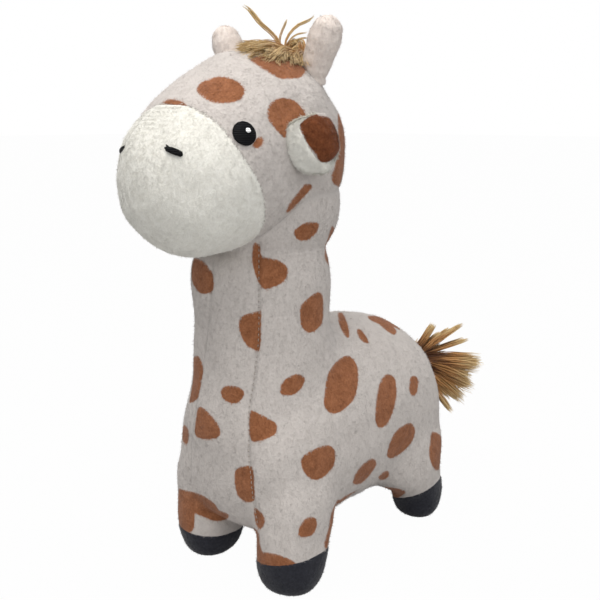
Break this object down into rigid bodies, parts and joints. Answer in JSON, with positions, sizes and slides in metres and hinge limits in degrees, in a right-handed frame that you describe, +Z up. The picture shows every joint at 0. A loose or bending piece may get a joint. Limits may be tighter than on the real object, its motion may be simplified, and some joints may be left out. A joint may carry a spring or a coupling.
{
  "type": "stuffed toy giraffe",
  "caption": "Soft standing toy giraffe with a long neck, short legs on dark hooves, brown spots, stitched face, stuffed horns, hanging ears and pile tufts on crown and tail",
  "frame": {"origin": "on the floor, under the middle of the bounding box", "axes": "+Z up; the giraffe looks along -Y and its own left side is +X"},
  "size_m": [0.0922, 0.223, 0.2551],
  "materials": {
    "coat": "short pink-beige pile with brown printed spots",
    "cream_pile": "longer cream pile",
    "hoof": "charcoal velour",
    "black_thread": "satin stitch",
    "white_thread": "satin stitch",
    "tuft_pile": "long golden pile",
    "filling": "loose polyester fibre"
  },
  "bodies": {
    "body": {"torso_cover": "coat", "neck_cover": "coat", "body_filling": "filling", "hoof_front_left": "hoof", "hoof_front_right": "hoof", "hoof_rear_left": "hoof", "hoof_rear_right": "hoof", "leg_cover_front_left": "coat", "leg_cover_front_right": "coat", "leg_cover_rear_left": "coat", "leg_cover_rear_right": "coat"},
    "head": {"head_cover": "coat", "muzzle_cover": "cream_pile", "head_filling": "filling", "eye_left": "black_thread", "eye_right": "black_thread", "eye_glint_left": "white_thread", "eye_glint_right": "white_thread", "nostril_left": "black_thread", "nostril_right": "black_thread", "hair_tuft": "tuft_pile"},
    "horn_left": {"horn_left": "coat"},
    "horn_right": {"horn_right": "coat"},
    "ear_left": {"ear_left": "coat", "ear_lining_left": "cream_pile"},
    "ear_right": {"ear_right": "coat", "ear_lining_right": "cream_pile"},
    "tail": {"tail_tuft": "tuft_pile"}
  },
  "joints": [
    {"name": "head_nod", "type": "hinge", "parent": "body", "child": "head", "pos_m": [0, -0.04305, 0.171], "axis": [1, 0, 0], "range_deg": [-8, 3], "stiffness_Nm_per_rad": 0.5},
    {"name": "horn_tip_left", "type": "hinge", "parent": "head", "child": "horn_left", "pos_m": [0.02198, -0.03655, 0.22273], "axis": [1, 0, 0], "range_deg": [-10, 7], "stiffness_Nm_per_rad": 0.02},
    {"name": "horn_tip_right", "type": "hinge", "parent": "head", "child": "horn_right", "pos_m": [-0.02198, -0.03655, 0.22273], "axis": [1, 0, 0], "range_deg": [-10, 7], "stiffness_Nm_per_rad": 0.02},
    {"name": "ear_lift_left", "type": "hinge", "parent": "head", "child": "ear_left", "pos_m": [0.03657, -0.06005, 0.2045], "axis": [0, -0.9272, -0.3746], "range_deg": [-2, 50], "stiffness_Nm_per_rad": 0.01},
    {"name": "ear_lift_right", "type": "hinge", "parent": "head", "child": "ear_right", "pos_m": [-0.03658, -0.06005, 0.2045], "axis": [0, 0.9272, 0.3746], "range_deg": [-2, 50], "stiffness_Nm_per_rad": 0.01},
    {"name": "tail_swing", "type": "hinge", "parent": "body", "child": "tail", "pos_m": [0, 0.07202, 0.072], "axis": [1, 0, 0], "range_deg": [-8, 15], "stiffness_Nm_per_rad": 0.02}
  ]
}
